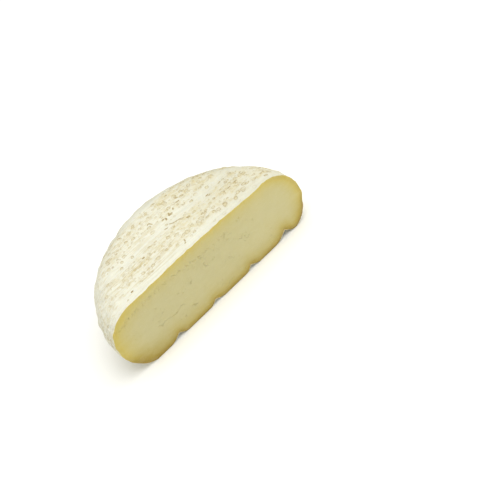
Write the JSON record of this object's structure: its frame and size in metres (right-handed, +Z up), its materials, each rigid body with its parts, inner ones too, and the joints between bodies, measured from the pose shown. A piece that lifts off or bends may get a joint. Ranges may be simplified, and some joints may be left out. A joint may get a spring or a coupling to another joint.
{
  "type": "half cheese wheel",
  "caption": "Half of a small cheese wheel, cut straight across, with a rounded rim, a pale mottled rind and rack creases across its flat underside.",
  "frame": {"origin": "on the surface that the half wheel rests on, under the middle of its bounding box", "axes": "+X along the cut from the taller end to the lower end, +Y from the cut face back to the round rim, +Z up"},
  "size_m": [0.1402, 0.0706, 0.0445],
  "materials": {
    "cheese": "dry, matt, whitish rind with tan mottling; the cut shows smooth pale yellow paste with a satin sheen"
  },
  "bodies": {
    "root": {"cheese_half": "cheese"}
  },
  "joints": []
}
